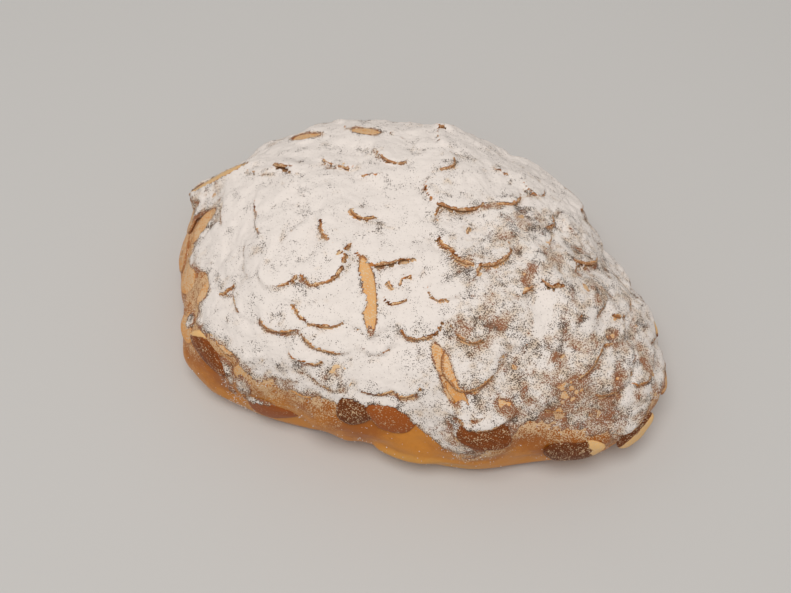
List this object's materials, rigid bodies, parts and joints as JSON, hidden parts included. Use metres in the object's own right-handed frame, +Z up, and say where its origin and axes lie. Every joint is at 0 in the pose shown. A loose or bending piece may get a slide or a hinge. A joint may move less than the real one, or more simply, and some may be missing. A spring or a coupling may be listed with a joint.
{
  "type": "mini stollen",
  "caption": "Small folded loaf of sweet fruit bread with a flat underside, coated in overlapping flaked almonds and dusted with icing sugar.",
  "frame": {"origin": "on the flat underside, at the middle of the loaf's plan", "axes": "+X along the loaf towards its narrow end, +Y across it towards the rounder long side, +Z up"},
  "size_m": [0.1435, 0.0997, 0.0482],
  "materials": {
    "baked_crust": "golden-brown baked dough, matt with a faint sheen",
    "flaked_almond": "toasted almond slices with brown skin at the rim, matt",
    "icing_sugar": "fine white sugar dust, fully matt"
  },
  "bodies": {
    "root": {"stollen": "baked_crust"}
  },
  "joints": []
}
